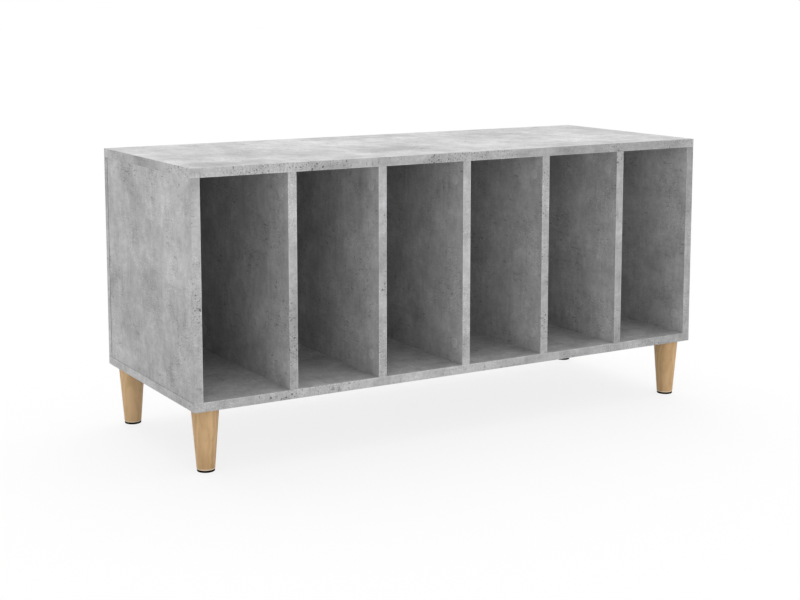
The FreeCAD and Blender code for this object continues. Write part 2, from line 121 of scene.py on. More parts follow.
# A soft patch on a piece, lighter or darker than the rest: its middle along the grain and across it, as
# shares of the piece counted from its left, front or lower end, its length along the grain and its width in
# metres, its tone, and how many more or fewer air pits it holds
Cloud = namedtuple("Cloud", "along_share across_share length width tone pits")
CLOUDS = {
    "top_panel": (
        Cloud(0.07, 0.45, 0.22, 0.18, -0.03, 0.0),
        Cloud(0.08, 0.08, 0.34, 0.12, -0.06, 0.0),
        Cloud(0.30, 0.74, 0.28, 0.13, 0.03, 0.0),
        Cloud(0.40, 0.32, 0.28, 0.16, -0.07, 0.0),
        Cloud(0.58, 0.92, 0.20, 0.08, -0.04, 0.0),
        Cloud(0.74, 0.71, 0.22, 0.14, -0.03, 0.0),
        Cloud(0.86, 0.32, 0.34, 0.22, 0.03, 0.0),
        Cloud(0.98, 0.82, 0.10, 0.14, -0.05, 0.0),
    ),
    "left_side_panel": (
        Cloud(0.43, 0.44, 0.14, 0.20, -0.05, 0.0),
        Cloud(0.23, 0.38, 0.10, 0.07, -0.03, 0.0),
        Cloud(0.86, 0.68, 0.12, 0.14, -0.02, 0.0),
        Cloud(0.80, 0.27, 0.11, 0.09, 0.04, 0.0),
        Cloud(0.63, 0.13, 0.07, 0.12, 0.04, 0.0),
        Cloud(0.06, 0.85, 0.07, 0.13, 0.02, 0.0),
        Cloud(0.29, 0.13, 0.16, 0.12, 0.0, 0.8),
        Cloud(0.92, 0.57, 0.14, 0.30, 0.0, 0.3),
        Cloud(0.38, 0.57, 0.34, 0.42, 0.0, -0.5),
    ),
    "divider_1": (Cloud(0.69, 0.13, 0.16, 0.12, -0.01, 0.8),),
    "divider_2": (
        Cloud(0.86, 0.13, 0.12, 0.14, -0.03, 0.0),
        Cloud(0.40, 0.19, 0.07, 0.12, -0.02, 0.8),
    ),
    "divider_3": (
        Cloud(0.86, 0.08, 0.12, 0.12, -0.05, 0.0),
        Cloud(0.60, 0.13, 0.07, 0.11, 0.03, 0.0),
        Cloud(0.20, 0.41, 0.07, 0.08, -0.03, 0.0),
        Cloud(0.49, 0.35, 0.30, 0.30, 0.01, -0.5),
    ),
    "divider_4": (
        Cloud(0.80, 0.08, 0.20, 0.14, -0.06, 0.0),
        Cloud(0.15, 0.13, 0.12, 0.14, 0.05, 0.0),
    ),
    "divider_5": (
        Cloud(0.86, 0.08, 0.12, 0.12, -0.05, 0.0),
        Cloud(0.72, 0.30, 0.09, 0.09, 0.03, 0.0),
        Cloud(0.46, 0.35, 0.14, 0.16, -0.01, 0.8),
        Cloud(0.09, 0.08, 0.12, 0.12, 0.05, 0.0),
    ),
    "right_side_panel": (
        Cloud(0.92, 0.13, 0.10, 0.12, -0.01, 0.8),
        Cloud(0.20, 0.13, 0.07, 0.06, -0.03, 0.0),
        Cloud(0.35, 0.30, 0.20, 0.24, 0.0, -0.5),
    ),
    "top_front_band": (
        Cloud(0.21, 0.5, 0.26, 0.05, -0.01, 1.0),
        Cloud(0.45, 0.5, 0.14, 0.20, -0.05, 0.2),
        Cloud(0.78, 0.5, 0.80, 0.20, -0.05, -0.4),
        Cloud(0.92, 0.5, 0.20, 0.20, -0.04, 0.0),
    ),
    "top_left_band": (Cloud(0.55, 0.5, 0.26, 0.06, -0.05, -1.0),),
    "bottom_left_band": (Cloud(0.5, 0.5, 0.80, 0.20, 0.0, -0.6),),
    "bottom_front_band": (
        Cloud(0.03, 0.5, 0.16, 0.20, -0.04, -1.0),
        Cloud(0.18, 0.5, 0.32, 0.20, 0.03, 1.0),
        Cloud(0.45, 0.5, 0.12, 0.20, 0.05, 0.3),
        Cloud(0.76, 0.5, 0.64, 0.20, -0.04, -0.7),
        Cloud(0.96, 0.5, 0.20, 0.20, -0.06, 0.0),
    ),
    "left_side_band": (
        Cloud(0.89, 0.5, 0.20, 0.20, -0.02, 0.0),
        Cloud(0.40, 0.5, 0.14, 0.20, 0.01, 0.5),
    ),
    "divider_1_band": (
        Cloud(0.86, 0.5, 0.24, 0.20, 0.05, -1.0),
        Cloud(0.29, 0.5, 0.28, 0.20, -0.04, 0.4),
    ),
    "divider_2_band": (Cloud(0.09, 0.5, 0.20, 0.20, 0.0, -0.6),),
    "divider_3_band": (Cloud(0.49, 0.5, 0.70, 0.20, 0.04, -0.8),),
    "divider_5_band": (Cloud(0.12, 0.5, 0.26, 0.20, -0.07, 0.0),),
    "right_side_band": (
        Cloud(0.29, 0.5, 0.50, 0.20, -0.01, -0.8),
        Cloud(0.92, 0.5, 0.44, 0.20, -0.05, 0.0),
    ),
    "back_left_band": (Cloud(0.92, 1.0, 0.32, 0.06, -0.07, 0.0),),
}

# The caps over the cams: each row's cut of the sheet and its tone
CAP_CUTS = {"top_cam_caps": (79, 0.05), "bottom_cam_caps": (81, 0.012)}

# The legs' corners: where each leg was cut from the plank, in metres along it, and how pale its wood is;
# the rear left leg's paler wood is painted light that lifts the shade under the cabinet
CORNERS = ("front_left", "front_right", "rear_left", "rear_right")
LEG_CUTS_AND_PAINTED_LIGHT = {
    "front_left": (0.0, 0.05),
    "front_right": (0.53, -0.04),
    # Painted light: paler wood to lift the shade under the cabinet
    "rear_left": (0.74, 0.26),
    "rear_right": (1.11, 0.0),
}

# The fasteners by what they are made of
PLATED_FASTENERS = ("leg_inserts", "hanger_bolts", "back_screws", "top_cam_bolts", "bottom_cam_bolts")
CAST_FASTENERS = ("top_cam_locks", "bottom_cam_locks")
DOWELS = ("top_dowels", "bottom_dowels")


# Settings


class PrintSettings(bpy.types.PropertyGroup):
    """The printed concrete finish of the boards and their edge bands."""

    tone: FloatProperty(
        name="Tone", description="How light the print is on the whole, as the eye sees it",
        default=0.71, min=0.0, max=1.0, subtype="FACTOR")
    drift_size: FloatProperty(
        name="Drift size", description="Width of the broad light and dark drifts",
        default=0.20, min=0.01, unit="LENGTH")
    drift_depth: FloatProperty(
        name="Drift depth", description="How strongly the drifts change the tone", default=0.12)
    cloud_size: FloatProperty(
        name="Cloud size", description="Width of the largest of the mottled clouds",
        default=0.06, min=0.01, unit="LENGTH")
    cloud_depth: FloatProperty(
        name="Cloud depth", description="How strongly the clouds change the tone", default=0.36)
    stroke_width: FloatProperty(
        name="Stroke width", description="Width of the trowel strokes along the grain",
        default=0.007, min=0.001, unit="LENGTH")
    stroke_depth: FloatProperty(
        name="Stroke depth", description="How strongly the strokes change the tone", default=0.03)
    cross_stroke_depth: FloatProperty(
        name="Cross stroke depth", description="How strongly the strokes across the grain change the tone",
        default=0.02)
    sand_size: FloatProperty(
        name="Sand size", description="Size of the sandy speckle",
        default=0.0022, min=0.0002, unit="LENGTH")
    sand_depth: FloatProperty(
        name="Sand depth", description="How strongly the speckle changes the tone", default=0.17)
    mark_size: FloatProperty(
        name="Mark size", description="Size of the uneven dark marks",
        default=0.0055, min=0.0005, unit="LENGTH")
    mark_depth: FloatProperty(
        name="Mark depth", description="How much darker the marks are", default=0.15)
    pit_pitch: FloatProperty(
        name="Pit pitch", description="Distance between the places where an air pit can be",
        default=0.0095, min=0.001, unit="LENGTH")
    pit_depth: FloatProperty(
        name="Pit depth", description="How much darker the air pits are", default=0.24)
    roughness: FloatProperty(
        name="Roughness", description="Roughness of the sealed paper face",
        default=0.5, min=0.0, max=1.0, subtype="FACTOR")


class WoodSettings(bpy.types.PropertyGroup):
    """The turned legs."""

    early_wood: FloatVectorProperty(
        name="Early wood", description="Pale wood between the growth rings",
        default=(0.68, 0.46, 0.25), size=3, min=0.0, max=1.0, subtype="COLOR")
    late_wood: FloatVectorProperty(
        name="Late wood", description="Darker wood of the growth rings",
        default=(0.45, 0.274, 0.124), size=3, min=0.0, max=1.0, subtype="COLOR")
    # A paler colour drawn in a thin rim just above the foot
    foot_rim_color: FloatVectorProperty(
        name="Bare wood", description="Unoiled wood of the foot's rim",
        default=(0.80, 0.64, 0.46), size=3, min=0.0, max=1.0, subtype="COLOR")
    ring_pitch: FloatProperty(
        name="Ring pitch", description="Distance from one growth ring to the next",
        default=0.0065, min=0.0005, unit="LENGTH")
    fibre_width: FloatProperty(
        name="Fibre width", description="Width of the fine upright fibres",
        default=0.0012, min=0.0001, unit="LENGTH")
    sides: IntProperty(
        name="Sides", description="Number of flats round a leg or glide", default=96, min=12)
    foot_overhang: FloatProperty(
        name="Foot overhang", description="How far the leg's foot stands out past the glide",
        default=0.0002, min=0.0, unit="LENGTH")
    foot_rounding: FloatProperty(
        name="Foot rounding", description="Rounding of the leg's foot",
        default=0.0009, min=0.0, unit="LENGTH")
    # The height of the paler rim just above the foot
    foot_rim: FloatProperty(
        name="Foot rim", description="Height of the foot's bare rim",
        default=0.0022, min=0.0, unit="LENGTH")
    crown_rounding: FloatProperty(
        name="Crown rounding", description="Rounding of the leg's top edge",
        default=0.0005, min=0.0, unit="LENGTH")
    stud_bore: FloatProperty(
        name="Stud bore", description="Diameter of the hole for the stud in the leg's top",
        default=0.0082, min=0.0, unit="LENGTH")
    stem_bore: FloatProperty(
        name="Stem bore", description="Diameter of the hole for the glide's stem in the leg's foot",
        default=0.0062, min=0.0, unit="LENGTH")
    bore_clearance: FloatProperty(
        name="Bore clearance", description="Gap at the end of a hole",
        default=0.0005, min=0.0, unit="LENGTH")


class StageSettings(bpy.types.PropertyGroup):
    """The floor, the light and the camera."""

    camera_place: FloatVectorProperty(
        name="Camera place", description="Where the camera stands",
        default=(-1.3758, -2.2799, 0.7268), size=3, subtype="TRANSLATION", unit="LENGTH")
    camera_yaw: FloatProperty(
        name="Camera yaw", description="How far the camera turns to the right of straight ahead",
        default=0.537, subtype="ANGLE")
    camera_pitch: FloatProperty(
        name="Camera pitch", description="How far the camera looks down",
        default=0.129, subtype="ANGLE")
    camera_lens: FloatProperty(
        name="Lens", description="Focal length in millimetres", default=67.27, min=1.0)
    camera_shift: FloatProperty(
        name="Shift", description="Upright shift of the picture, in picture widths", default=-0.125)
    even_light: FloatProperty(
        name="Even light", description="Strength of the studio's light from every side",
        default=0.385, min=0.0)
    horizon_light: FloatProperty(
        name="Horizon light", description="Light that is added near eye level",
        default=0.68, min=0.0)
    overhead_light: FloatProperty(
        name="Overhead light", description="Strength of the soft light overhead",
        default=3.45, min=0.0)
    overhead_from: FloatVectorProperty(
        name="Overhead from", description="Where the overhead light comes from",
        default=(0.2, 0.35, 0.92), size=3, subtype="DIRECTION")
    front_light: FloatProperty(
        name="Front light", description="Strength of the soft light from the front",
        default=0.48, min=0.0)
    front_from: FloatVectorProperty(
        name="Front from", description="Where the front light comes from",
        default=(0.1, -0.95, 0.3), size=3, subtype="DIRECTION")
    floor_size: FloatProperty(
        name="Floor size", description="Width of the floor", default=80.0, min=1.0, unit="LENGTH")
    floor_color: FloatVectorProperty(
        name="Floor colour", description="Colour of the pale floor as the cabinet is lit by it",
        default=(0.75, 0.75, 0.75), size=3, min=0.0, max=1.0, subtype="COLOR")
    floor_seen_color: FloatVectorProperty(
        name="Floor colour as seen", description="Colour of the pale floor as the camera sees it",
        default=(0.745, 0.745, 0.745), size=3, min=0.0, max=1.0, subtype="COLOR")
    floor_glow: FloatProperty(
        name="Floor glow", description="How far the floor's shadow is lightened for the camera",
        default=0.82, min=0.0, max=1.0, subtype="FACTOR")


class CabinetSettings(bpy.types.PropertyGroup):
    """All the settings of the cabinet."""

    board_print: PointerProperty(type=PrintSettings)
    wood: PointerProperty(type=WoodSettings)
    stage: PointerProperty(type=StageSettings)


# Node helpers


# How a noise is broken up, and its level on the whole
Noise = namedtuple("Noise", "detail roughness distortion", defaults=(0.5, 0.0))
NOISE_MIDDLE = 0.5

# The depth of a face's relief in metres, and plain white
RELIEF_DEPTH = 0.0001
WHITE = (1.0, 1.0, 1.0, 1.0)


def join(tree, node, inputs):
    """Gives each named input of a node a value, or joins it to a socket."""
    for name, value in inputs.items():
        if isinstance(value, bpy.types.NodeSocket):
            tree.links.new(value, node.inputs[name])
        else:
            node.inputs[name].default_value = value


def add_node(tree, kind, inputs=None, **options):
    """A node with its options set and its inputs joined."""
    node = tree.nodes.new(kind)
    for option, value in options.items():
        setattr(node, option, value)
    join(tree, node, inputs or {})
    return node


def math_of(tree, operation, first, second):
    """What one operation makes of two values."""
    return add_node(tree, "ShaderNodeMath", {0: first, 1: second}, operation=operation).outputs[0]


def sum_of(tree, first, *others):
    """The sum of values."""
    for other in others:
        first = math_of(tree, "ADD", first, other)
    return first


def product_of(tree, first, *others):
    """The product of values."""
    for other in others:
        first = math_of(tree, "MULTIPLY", first, other)
    return first


def stretched(tree, vector, factors):
    """Coordinates or a colour multiplied part by part."""
    node = add_node(tree, "ShaderNodeVectorMath", {0: vector, 1: factors}, operation="MULTIPLY")
    return node.outputs[0]


def shifted(tree, vector, offset):
    """Coordinates moved aside."""
    return add_node(tree, "ShaderNodeVectorMath", {0: vector, 1: offset}, operation="ADD").outputs[0]


def distance_along(tree, vector, axis):
    """How far coordinates lie along an axis."""
    node = add_node(tree, "ShaderNodeVectorMath", {0: vector, 1: axis}, operation="DOT_PRODUCT")
    return node.outputs["Value"]


def coordinate_of(tree, vector, axis):
    """One of the three coordinates."""
    return add_node(tree, "ShaderNodeSeparateXYZ", {"Vector": vector}).outputs[axis]


def noise_of(tree, vector, size, kind, dimensions="2D"):
    """Noise of a kind, whose largest blotches are about this size, in metres."""
    inputs = {
        "Vector": vector, "Scale": 1.0 / size, "Detail": kind.detail, "Roughness": kind.roughness,
        "Distortion": kind.distortion}
    return add_node(tree, "ShaderNodeTexNoise", inputs, noise_dimensions=dimensions).outputs[0]


def swing_of(tree, noise, depth):
    """Noise turned into a change of tone to either side of none."""
    return product_of(tree, sum_of(tree, noise, -NOISE_MIDDLE), depth)


def eased(tree, value, low, high, start=0.0, end=1.0):
    """A value eased from start at low to end at high, and held beyond them."""
    inputs = {"Value": value, "From Min": low, "From Max": high, "To Min": start, "To Max": end}
    node = add_node(tree, "ShaderNodeMapRange", inputs, interpolation_type="SMOOTHSTEP")
    return node.outputs[0]


def clamped(tree, value):
    """A value held between 0 and 1."""
    return add_node(tree, "ShaderNodeClamp", {"Value": value}).outputs[0]


def gray_of(tree, level):
    """A colour without hue."""
    inputs = {"Red": level, "Green": level, "Blue": level}
    return add_node(tree, "ShaderNodeCombineColor", inputs).outputs[0]


def two_tone(tree, share, pale, dark):
    """A colour that goes from a pale one to a dark one as its share rises."""
    node = add_node(tree, "ShaderNodeValToRGB", {"Fac": share})
    node.color_ramp.elements[0].color = (*pale, 1.0)
    node.color_ramp.elements[1].color = (*dark, 1.0)
    return node.outputs["Color"]


def relief_of(tree, height, strength):
    """A face's direction, bent by fine heights."""
    inputs = {"Strength": strength, "Distance": RELIEF_DEPTH, "Height": height}
    return add_node(tree, "ShaderNodeBump", inputs).outputs[0]


def blend_of(tree, share, first, second):
    """Two shaders, with this share of the second."""
    inputs = {0: share, 1: first.outputs[0], 2: second.outputs[0]}
    return add_node(tree, "ShaderNodeMixShader", inputs)


def seen_directly(tree):
    """1 for what the camera sees, straight or in a reflection or through glass, and otherwise 0."""
    path = add_node(tree, "ShaderNodeLightPath").outputs
    seen = math_of(tree, "MAXIMUM", path["Is Camera Ray"], path["Is Glossy Ray"])
    return math_of(tree, "MAXIMUM", seen, path["Is Transmission Ray"])


def empty_tree(owner):
    """The node tree of a material or a sky, with nothing in it."""
    owner.use_nodes = True
    owner.node_tree.nodes.clear()
    return owner.node_tree


def new_material(name):
    """A material with its tree and its shader."""
    material = bpy.data.materials.new(name)
    tree = empty_tree(material)
    shader = add_node(tree, "ShaderNodeBsdfPrincipled")
    add_node(tree, "ShaderNodeOutputMaterial", {"Surface": shader.outputs[0]})
    return material, tree, shader


def object_coordinates(tree, location=(0.0, 0.0, 0.0), rotation=(0.0, 0.0, 0.0)):
    """The piece's own coordinates, turned and then moved."""
    place = add_node(tree, "ShaderNodeTexCoord").outputs["Object"]
    inputs = {"Vector": place, "Location": location, "Rotation": rotation}
    return add_node(tree, "ShaderNodeMapping", inputs, vector_type="POINT").outputs[0]


def dress(node_name, material):
    """Gives a CAD node one material all over."""
    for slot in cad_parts[node_name].material_slots:
        slot.material = material


# The concrete print


# How the noise of each layer is broken up
DRIFT_NOISE = Noise(1.0, 0.5, 0.4)
CLOUD_NOISE = Noise(5.0, 0.85)
STROKE_NOISE = Noise(2.0, 0.6)
SAND_NOISE = Noise(1.0, 0.6)
MARK_NOISE = Noise(3.0, 0.7)
PATCH_NOISE = Noise(2.0, 0.6)
RUFFLE_DETAIL = 1.0

# How far a layer lies aside on the sheet, in metres, so that none repeats another
LAYER_OFFSETS = {
    "clouds": 3.0,
    "sandy_patches": 9.0,
    "marked_patches": 12.0,
    "cross_strokes": 15.0,
    "marks": 18.0,
    "small_pits": 2.0,
}

# How fast a layer changes along the sheet and across it
STROKE_PACE = (0.10, 1.0, 1.0)
CROSS_STROKE_PACE = (1.0, 0.12, 1.0)
MARK_PACE = (1.0, 0.35, 1.0)

# The levels of noise between which something comes or goes
DARK_STROKE_RANGE = (0.58, 0.74)
LIGHT_STROKE_RANGE = (0.26, 0.42)
SANDY_RANGE = (0.40, 0.62)
PITTED_RANGE = (0.46, 0.62)
MARKED_RANGE = (0.48, 0.66)
MARK_RANGE = (0.58, 0.72)

# How strong a light stroke is next to a dark one, and the sand outside and inside a sandy patch
LIGHT_STROKE_SHARE = 0.7
SAND_SHARES = (0.25, 1.6)

# The patches that hold sand and pits, and those that hold marks
SANDY_PATCH_SIZE = 0.08
MARKED_PATCH_SIZE = 0.055

# The air pits: how many of the places hold one, the largest radius, and how soft and uneven their rims are
LARGE_PIT_SHARE = 0.45
LARGE_PIT_RADIUS = 0.0021
SMALL_PIT_SHARE = 0.65
SMALL_PIT_RADIUS = 0.0012
PIT_WALL = 0.3
PIT_RUFFLE_SIZE = 0.004
PIT_RUFFLE_REACH = 0.003

# A piece's own clouds: how uneven their outlines are, and how much of one is at full strength
CLOUD_RUFFLE_SIZE = 0.05
CLOUD_RUFFLE_REACH = 0.06
CLOUD_CORE = 0.25

# The lines along a band's edges
EDGE_LINE_WIDTH = 0.0018
EDGE_LINE_CORE = 0.7

# How much faster light rises than tone as the eye sees it, and the face of the sheet
GAMMA = 2.2
SAND_ROUGHNESS_SWING = 0.12
SAND_HEIGHT = 0.35
PRINT_RELIEF = 0.35
PRINT_SHEEN = 0.06


def beside(tree, vector, layer):
    """Coordinates moved to where a layer lies on the sheet."""
    return shifted(tree, vector, (0.0, LAYER_OFFSETS[layer], 0.0))


def ruffled(tree, vector, size, reach):
    """Coordinates pushed about by noise, so that shapes drawn on them have uneven outlines."""
    inputs = {"Vector": vector, "Scale": 1.0 / size, "Detail": RUFFLE_DETAIL}
    noise = add_node(tree, "ShaderNodeTexNoise", inputs, noise_dimensions="2D").outputs["Color"]
    inputs = {0: shifted(tree, noise, (-NOISE_MIDDLE,) * 3), 1: (reach,) * 3, 2: vector}
    return add_node(tree, "ShaderNodeVectorMath", inputs, operation="MULTIPLY_ADD").outputs[0]


def strokes_of(tree, vector, pace, width, depth):
    """Sparse trowel strokes, some darker and some lighter than the ground between them."""
    streaks = noise_of(tree, stretched(tree, vector, pace), width, STROKE_NOISE)
    dark = eased(tree, streaks, *DARK_STROKE_RANGE, 0.0, -depth)
    light = eased(tree, streaks, *LIGHT_STROKE_RANGE, LIGHT_STROKE_SHARE * depth, 0.0)
    return sum_of(tree, dark, light)


def marks_of(group, given, settings):
    """Uneven dark marks, in some patches of the sheet and where a piece's clouds crowd them."""
    place = stretched(group, beside(group, given["Vector"], "marks"), MARK_PACE)
    marks = eased(group, noise_of(group, place, settings.mark_size, MARK_NOISE), *MARK_RANGE)
    aside = beside(group, given["Vector"], "marked_patches")
    patches = noise_of(group, aside, MARKED_PATCH_SIZE, PATCH_NOISE)
    marked = sum_of(group, eased(group, patches, *MARKED_RANGE), given["Crowding"])
    return product_of(group, marks, clamped(group, marked))


def pit_mask(tree, vector, pitch, share, largest, size):
    """Dark pits of mixed size up to a largest radius, in a share of the places where one can be."""
    inputs = {"Vector": vector, "Scale": 1.0 / pitch}
    cells = add_node(tree, "ShaderNodeTexVoronoi", inputs, voronoi_dimensions="2D").outputs
    chance = add_node(tree, "ShaderNodeSeparateColor", {"Color": cells["Color"]}).outputs[0]
    radius = add_node(tree, "ShaderNodeMapRange", {
        "Value": chance, "From Min": 1.0 - share, "From Max": 1.0, "To Min": 0.0,
        "To Max": largest / pitch}).outputs[0]
    radius = product_of(tree, radius, size)
    within = sum_of(tree, radius, product_of(tree, cells["Distance"], -1.0))
    return eased(tree, within, 0.0, PIT_WALL * largest / pitch)


def pits_of(group, given, patches, settings):
    """Large and small air pits, in some patches of the sheet and where a piece's clouds crowd them."""
    uneven = ruffled(group, given["Vector"], PIT_RUFFLE_SIZE, PIT_RUFFLE_REACH)
    pitch = settings.pit_pitch
    size = given["Pit Size"]
    large = pit_mask(group, uneven, pitch, LARGE_PIT_SHARE, LARGE_PIT_RADIUS, size)
    aside = beside(group, uneven, "small_pits")
    small = pit_mask(group, aside, pitch / 2, SMALL_PIT_SHARE, SMALL_PIT_RADIUS, size)
    pitted = sum_of(group, eased(group, patches, *PITTED_RANGE), given["Crowding"])
    return product_of(group, math_of(group, "MAXIMUM", large, small), clamped(group, pitted), given["Pits"])


def concrete_print(settings):
    """A node group that draws the print, with the grain along X, as colour, roughness and height."""
    group = bpy.data.node_groups.new("concrete_print", "ShaderNodeTree")
    group.interface.new_socket("Vector", in_out="INPUT", socket_type="NodeSocketVector")
    for name in ("Tone", "Pits", "Pit Size", "Crowding"):
        group.interface.new_socket(name, in_out="INPUT", socket_type="NodeSocketFloat")
    group.interface.new_socket("Color", in_out="OUTPUT", socket_type="NodeSocketColor")
    for name in ("Roughness", "Height"):
        group.interface.new_socket(name, in_out="OUTPUT", socket_type="NodeSocketFloat")
    given = group.nodes.new("NodeGroupInput").outputs
    place = given["Vector"]

    drift = noise_of(group, place, settings.drift_size, DRIFT_NOISE)
    clouds = noise_of(group, beside(group, place, "clouds"), settings.cloud_size, CLOUD_NOISE)
    width = settings.stroke_width
    strokes = strokes_of(group, place, STROKE_PACE, width, settings.stroke_depth)
    aside = beside(group, place, "cross_strokes")
    cross_strokes = strokes_of(group, aside, CROSS_STROKE_PACE, width, settings.cross_stroke_depth)
    sand = noise_of(group, place, settings.sand_size, SAND_NOISE)
    patches = noise_of(group, beside(group, place, "sandy_patches"), SANDY_PATCH_SIZE, PATCH_NOISE)
    sandy = eased(group, patches, *SANDY_RANGE, *SAND_SHARES)
    marks = marks_of(group, given, settings)
    pits = pits_of(group, given, patches, settings)

    tone = sum_of(
        group, given["Tone"], settings.tone,
        swing_of(group, drift, settings.drift_depth), swing_of(group, clouds, settings.cloud_depth),
        strokes, cross_strokes, product_of(group, swing_of(group, sand, settings.sand_depth), sandy),
        product_of(group, marks, -settings.mark_depth), product_of(group, pits, -settings.pit_depth))
    gray = add_node(group, "ShaderNodeMath", {0: tone, 1: GAMMA}, operation="POWER", use_clamp=True)
    rough = sum_of(group, swing_of(group, sand, SAND_ROUGHNESS_SWING), settings.roughness)
    height = sum_of(group, product_of(group, sand, SAND_HEIGHT), product_of(group, pits, -1.0))
    add_node(group, "NodeGroupOutput", {
        "Color": gray_of(group, gray.outputs[0]), "Roughness": rough, "Height": height})
    return group


def edge_lines(tree, across, middle, half_width, first_edge, second_edge):
    """A change of tone along a band's two long edges, next to nothing between them."""
    offset = sum_of(tree, across, -middle)
    start = half_width - EDGE_LINE_WIDTH
    full = half_width - EDGE_LINE_WIDTH * EDGE_LINE_CORE
    second = eased(tree, offset, start, full, 0.0, second_edge)
    first = eased(tree, offset, -full, -start, first_edge, 0.0)
    return sum_of(tree, first, second)


def clouds_of(tree, place, corners, cut, clouds):
    """The change of tone and of the number of pits that a piece's own clouds make."""
    uneven = ruffled(tree, place, CLOUD_RUFFLE_SIZE, CLOUD_RUFFLE_REACH)
    first, last = corners
    tone = 0.0
    pits = 0.0
    for cloud in clouds:
        along = cut + first.x + (last.x - first.x) * cloud.along_share
        across = first.y + (last.y - first.y) * cloud.across_share
        aside = shifted(tree, uneven, (-along, -across, 0.0))
        share = stretched(tree, aside, (2.0 / cloud.length, 2.0 / cloud.width, 0.0))
        away = add_node(tree, "ShaderNodeVectorMath", {0: share}, operation="LENGTH").outputs["Value"]
        within = eased(tree, away, CLOUD_CORE, 1.0, 1.0, 0.0)
        tone = sum_of(tree, tone, product_of(tree, within, cloud.tone))
        pits = sum_of(tree, pits, product_of(tree, within, cloud.pits))
    return tone, pits


def print_material(node, grain, cut, tone, pits, edges=None):
    """The printed finish of one board, band or row of caps. Edges are a band's two edge tones."""
    material, tree, shader = new_material(f"{node}_print")
    place = object_coordinates(tree, (float(cut), 0.0, 0.0), grain)
    turn = Euler(grain).to_matrix()
    corners = [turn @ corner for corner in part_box(node)]
    crowding = 0.0
    if node in CLOUDS:
        change, crowding = clouds_of(tree, place, corners, cut, CLOUDS[node])
        tone = sum_of(tree, change, tone)
    if edges:
        low, high = corners
        first_edge, second_edge = edges if low.y < high.y else edges[::-1]
        lines = edge_lines(tree, coordinate_of(tree, place, "Y"), (low.y + high.y) / 2,
                           abs(high.y - low.y) / 2, first_edge, second_edge)
        tone = sum_of(tree, lines, tone)
    inputs = {
        "Vector": place, "Tone": tone, "Pits": pits.depth, "Pit Size": pits.size, "Crowding": crowding}
    sheet = bpy.data.node_groups["concrete_print"]
    pattern = add_node(tree, "ShaderNodeGroup", inputs, node_tree=sheet)
    join(tree, shader, {
        "Base Color": pattern.outputs["Color"],
        "Roughness": pattern.outputs["Roughness"],
        "Normal": relief_of(tree, pattern.outputs["Height"], PRINT_RELIEF),
        "Specular IOR Level": PRINT_SHEEN})
    return material


# Wood, plastic and metal


# A face: its roughness, how far that swings, how strong its relief is, and its sheen
Face = namedtuple("Face", "roughness swing relief sheen")
LEG_FACE = Face(0.5, 0.2, 0.25, 0.2)
PLASTIC_FACE = Face(0.7, 0.3, 0.3, 0.12)
DOWEL_FACE = Face(0.65, 0.2, 0.3, 0.5)

# The wood's layers: how each is broken up, and how fast it changes along the grain, next to across it
FIBRE_NOISE = Noise(3.0, 0.7)
WARP_NOISE = Noise(2.0)
STAIN_NOISE = Noise(2.0)
FLECK_NOISE = Noise(1.0)
FIBRE_PACE = 0.04
WARP_PACE = 0.35
STAIN_PACE = 0.5
FLECK_PACE = 0.3

# The wood's figure: the way across its rings, its layers' sizes in metres, and how much late wood each
# of them brings
RING_NORMAL = (0.45, 0.88, 0.13)
RING_DEPTH = 0.19
WARP_SIZE = 0.03
WARP_REACH = 0.022
STAIN_SIZE = 0.03
STAIN_DEPTH = 1.1
FLECK_SIZE = 0.005
FLECK_RANGE = (0.64, 0.80)
FLECK_DEPTH = 0.5
FIBRE_DEPTH = 0.8
LATE_WOOD_SHARE = 0.42

# The pale rim's soft edge, and the places of the sockets in the node that mixes colours
RIM_EDGE = 0.0002
MIX_FACTOR = 0
MIX_FIRST_COLOR = 6
MIX_SECOND_COLOR = 7
MIX_RESULT_COLOR = 2

# The glides' plastic
PLASTIC_GRAIN_SIZE = 0.0006
PLASTIC_GRAIN_NOISE = Noise(2.0)
PLASTIC_CLOUD_SIZE = 0.01
PLASTIC_CLOUD_NOISE = Noise(3.0)
PLASTIC_CLOUD_RANGE = (0.3, 0.7)
PLASTIC_TONES = (0.004, 0.009)
PLASTIC_TINT = (1.0, 0.82, 0.62)

# The fasteners' zinc
PLATED_TONE = 0.42
CAST_TONE = 0.36
ZINC_CLOUD_SIZE = 0.003
ZINC_CLOUD_NOISE = Noise(3.0)
ZINC_TONE_SWING = 0.25
ZINC_ROUGHNESS = 0.36
ZINC_ROUGHNESS_SWING = 0.3

# The dowels' beech
PALE_BEECH = (0.60, 0.42, 0.24)
DARK_BEECH = (0.44, 0.28, 0.14)
DOWEL_FIBRE_WIDTH = 0.0008
DOWEL_FIBRE_PACE = 0.06


def face_of(tree, noise, face):
    """A shader's inputs for a face whose roughness and relief follow a noise."""
    return {
        "Roughness": sum_of(tree, swing_of(tree, noise, face.swing), face.roughness),
        "Normal": relief_of(tree, noise, face.relief),
        "Specular IOR Level": face.sheen,
    }


def grain_of(tree, place, size, pace, kind):
    """Noise that is drawn out upwards, the more so the smaller its pace."""
    return noise_of(tree, stretched(tree, place, (1.0, 1.0, pace)), size, kind, "3D")


